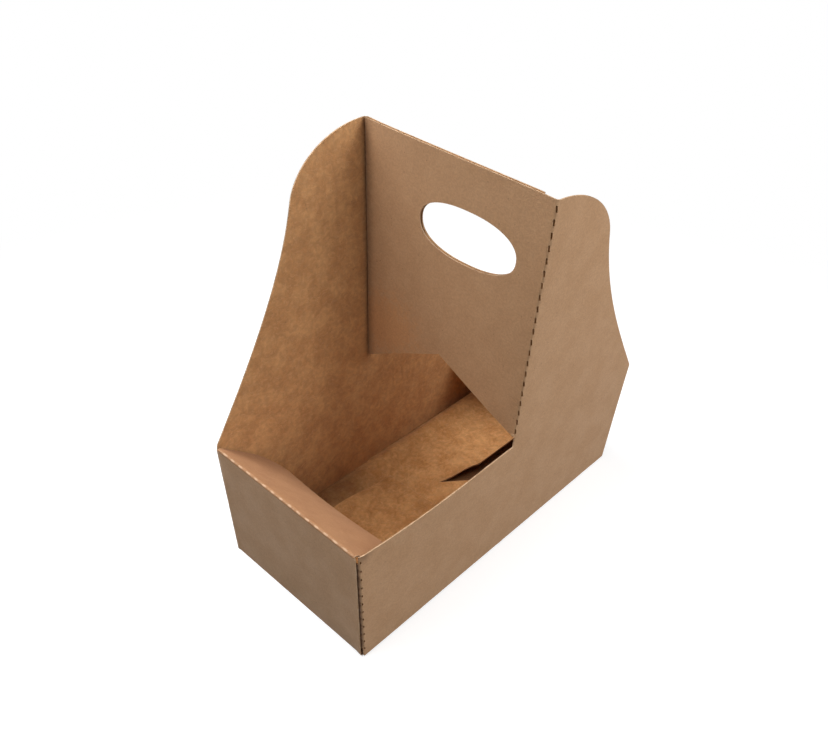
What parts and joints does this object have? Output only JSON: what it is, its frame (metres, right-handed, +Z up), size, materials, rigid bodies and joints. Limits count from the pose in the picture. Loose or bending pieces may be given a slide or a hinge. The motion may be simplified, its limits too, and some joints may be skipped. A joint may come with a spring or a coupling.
{
  "type": "cup carrier tray",
  "caption": "Folded kraft board tray for drinks cups, with tall side ears, a cross handle panel with an oval hand hole, and hinged roll-over end flaps.",
  "frame": {"origin": "middle of the base, on the surface that the tray stands on", "axes": "+X along the tray's length towards the back end, +Y across it towards the left wall, +Z up"},
  "size_m": [0.2, 0.098, 0.184],
  "materials": {
    "kraft_board": "matte uncoated kraft liner"
  },
  "bodies": {
    "carrier": {"carrier_sheet": "kraft_board"},
    "front_flap": {"front_end_flap": "kraft_board"},
    "back_flap": {"back_end_flap": "kraft_board"}
  },
  "joints": [
    {"name": "front_flap_crease", "type": "hinge", "parent": "carrier", "child": "front_flap", "pos_m": [-0.099, 0, 0.066], "axis": [0, -1, 0], "range_deg": [-38, 122]},
    {"name": "back_flap_crease", "type": "hinge", "parent": "carrier", "child": "back_flap", "pos_m": [0.099, 0, 0.066], "axis": [0, 1, 0], "range_deg": [-38, 122]}
  ]
}
